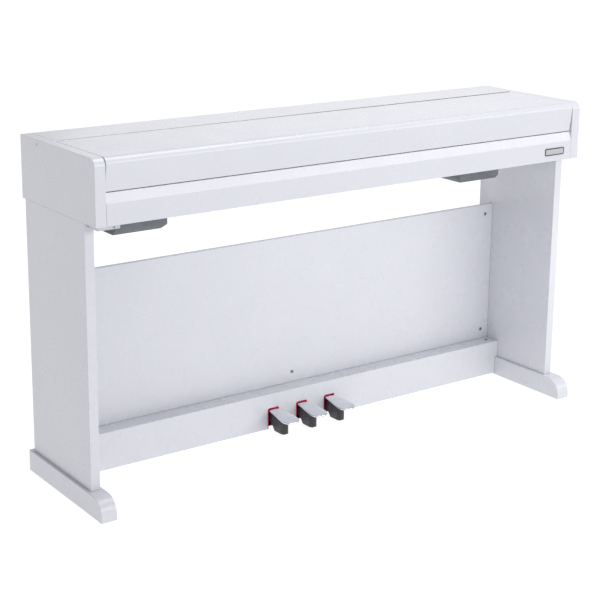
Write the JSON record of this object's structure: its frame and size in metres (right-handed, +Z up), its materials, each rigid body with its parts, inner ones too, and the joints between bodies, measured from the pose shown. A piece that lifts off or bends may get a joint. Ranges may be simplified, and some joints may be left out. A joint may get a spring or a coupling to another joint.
{
  "type": "digital piano",
  "caption": "Slim white digital piano on a panel stand, with a lid that folds up over the keyboard, a modesty panel, feet and a pedal box with sprung pedals.",
  "frame": {"origin": "middle of the bounding box at floor level", "axes": "+X towards the player's right, -Y out of the front towards the player, +Z up"},
  "size_m": [1.376, 0.348, 0.778],
  "materials": {
    "white_board": "satin white foil on board",
    "key_white": "gloss",
    "key_black": "satin",
    "grey_plastic": "fine moulded grain",
    "light_grey_plastic": "fine moulded grain",
    "black_plastic": "fine moulded grain",
    "pedal_plastic": "satin moulded",
    "speaker_black": "matte",
    "red_felt": "felt",
    "steel": "zinc plated",
    "chrome": "polished",
    "badge": "satin, dark rim",
    "circuit_green": "lacquered circuit board",
    "rubber": "matte"
  },
  "bodies": {
    "cabinet": {"left_cheek": "white_board", "right_cheek": "white_board", "rear_top_board": "white_board", "rear_board": "white_board", "bottom_board": "white_board", "key_slip": "white_board", "left_key_block": "white_board", "right_key_block": "white_board", "badge_plate": "badge", "rear_jack_plate": "black_plastic", "headphone_jack_box": "light_grey_plastic", "left_speaker_tray": "grey_plastic", "right_speaker_tray": "grey_plastic", "left_speaker": "speaker_black", "right_speaker": "speaker_black", "control_panel": "black_plastic", "circuit_board": "circuit_green", "hinge_fixed_leaf": "steel", "hinge_pin": "steel", "left_lid_buffer": "rubber", "right_lid_buffer": "rubber", "key_frame": "steel", "key_felt": "red_felt", "left_leg": "white_board", "right_leg": "white_board", "left_foot": "white_board", "right_foot": "white_board", "back_panel": "white_board", "pedal_box_front": "white_board", "pedal_box_top": "white_board", "pedal_base_plate": "steel", "pedal_axle": "steel", "left_pedal_felt": "red_felt", "left_pedal_spring": "steel", "middle_pedal_felt": "red_felt", "middle_pedal_spring": "steel", "right_pedal_felt": "red_felt", "right_pedal_spring": "steel"},
    "lid": {"lid_board": "white_board", "lid_front_board": "white_board", "hinge_lid_leaf": "steel"},
    "bass_white_keys": {"bass_white_keys": "key_white"},
    "bass_black_keys": {"bass_black_keys": "key_black"},
    "treble_white_keys": {"treble_white_keys": "key_white"},
    "treble_black_keys": {"treble_black_keys": "key_black"},
    "middle_c_key": {"middle_c_key": "key_white"},
    "middle_c_sharp_key": {"middle_c_sharp_key": "key_black"},
    "middle_d_key": {"middle_d_key": "key_white"},
    "middle_d_sharp_key": {"middle_d_sharp_key": "key_black"},
    "middle_e_key": {"middle_e_key": "key_white"},
    "left_pedal": {"left_pedal": "chrome", "left_pedal_arm": "pedal_plastic"},
    "middle_pedal": {"middle_pedal": "chrome", "middle_pedal_arm": "pedal_plastic"},
    "right_pedal": {"right_pedal": "chrome", "right_pedal_arm": "pedal_plastic"},
    "volume_knob": {"volume_knob": "light_grey_plastic"},
    "power_button": {"power_button": "light_grey_plastic"},
    "voice_button": {"voice_button": "light_grey_plastic"},
    "metronome_button": {"metronome_button": "light_grey_plastic"}
  },
  "joints": [
    {"name": "lid_hinge", "type": "hinge", "parent": "cabinet", "child": "lid", "pos_m": [0, 0.058, 0.7763], "axis": [-1, 0, 0], "range_deg": [0, 105]},
    {"name": "bass_white_keys_press", "type": "hinge", "parent": "cabinet", "child": "bass_white_keys", "pos_m": [0, 0.084, 0.7], "axis": [1, 0, 0], "range_deg": [0, 2.6], "stiffness_Nm_per_rad": 16.1, "springref_deg": -17.19},
    {"name": "bass_black_keys_press", "type": "hinge", "parent": "cabinet", "child": "bass_black_keys", "pos_m": [0, 0.084, 0.7], "axis": [1, 0, 0], "range_deg": [0, 2.6], "stiffness_Nm_per_rad": 11.2, "springref_deg": -17.19},
    {"name": "treble_white_keys_press", "type": "hinge", "parent": "cabinet", "child": "treble_white_keys", "pos_m": [0, 0.084, 0.7], "axis": [1, 0, 0], "range_deg": [0, 2.6], "stiffness_Nm_per_rad": 18.2, "springref_deg": -17.19},
    {"name": "treble_black_keys_press", "type": "hinge", "parent": "cabinet", "child": "treble_black_keys", "pos_m": [0, 0.084, 0.7], "axis": [1, 0, 0], "range_deg": [0, 2.6], "stiffness_Nm_per_rad": 12.6, "springref_deg": -17.19},
    {"name": "middle_c_key_press", "type": "hinge", "parent": "cabinet", "child": "middle_c_key", "pos_m": [0, 0.084, 0.7], "axis": [1, 0, 0], "range_deg": [0, 2.6], "stiffness_Nm_per_rad": 0.7, "springref_deg": -17.19},
    {"name": "middle_c_sharp_key_press", "type": "hinge", "parent": "cabinet", "child": "middle_c_sharp_key", "pos_m": [0, 0.084, 0.7], "axis": [1, 0, 0], "range_deg": [0, 2.6], "stiffness_Nm_per_rad": 0.7, "springref_deg": -17.19},
    {"name": "middle_d_key_press", "type": "hinge", "parent": "cabinet", "child": "middle_d_key", "pos_m": [0, 0.084, 0.7], "axis": [1, 0, 0], "range_deg": [0, 2.6], "stiffness_Nm_per_rad": 0.7, "springref_deg": -17.19},
    {"name": "middle_d_sharp_key_press", "type": "hinge", "parent": "cabinet", "child": "middle_d_sharp_key", "pos_m": [0, 0.084, 0.7], "axis": [1, 0, 0], "range_deg": [0, 2.6], "stiffness_Nm_per_rad": 0.7, "springref_deg": -17.19},
    {"name": "middle_e_key_press", "type": "hinge", "parent": "cabinet", "child": "middle_e_key", "pos_m": [0, 0.084, 0.7], "axis": [1, 0, 0], "range_deg": [0, 2.6], "stiffness_Nm_per_rad": 0.7, "springref_deg": -17.19},
    {"name": "left_pedal_press", "type": "hinge", "parent": "cabinet", "child": "left_pedal", "pos_m": [-0.085, 0.128, 0.04], "axis": [1, 0, 0], "range_deg": [0, 2.8], "stiffness_Nm_per_rad": 10, "springref_deg": -6.88, "deforming": ["left_pedal_spring"]},
    {"name": "middle_pedal_press", "type": "hinge", "parent": "cabinet", "child": "middle_pedal", "pos_m": [0, 0.128, 0.04], "axis": [1, 0, 0], "range_deg": [0, 2.8], "stiffness_Nm_per_rad": 10, "springref_deg": -6.88, "deforming": ["middle_pedal_spring"]},
    {"name": "right_pedal_press", "type": "hinge", "parent": "cabinet", "child": "right_pedal", "pos_m": [0.085, 0.128, 0.04], "axis": [1, 0, 0], "range_deg": [0, 2.8], "stiffness_Nm_per_rad": 10, "springref_deg": -6.88, "deforming": ["right_pedal_spring"]},
    {"name": "volume_knob_turn", "type": "hinge", "parent": "cabinet", "child": "volume_knob", "pos_m": [-0.51, 0.037, 0.74], "axis": [0, 0, -1], "range_deg": [-150, 150]},
    {"name": "power_button_press", "type": "slide", "parent": "cabinet", "child": "power_button", "axis": [0, 0, -1], "range_m": [0, 0.0012], "stiffness_N_per_m": 400, "springref_m": -0.001},
    {"name": "voice_button_press", "type": "slide", "parent": "cabinet", "child": "voice_button", "axis": [0, 0, -1], "range_m": [0, 0.0012], "stiffness_N_per_m": 400, "springref_m": -0.001},
    {"name": "metronome_button_press", "type": "slide", "parent": "cabinet", "child": "metronome_button", "axis": [0, 0, -1], "range_m": [0, 0.0012], "stiffness_N_per_m": 400, "springref_m": -0.001}
  ]
}
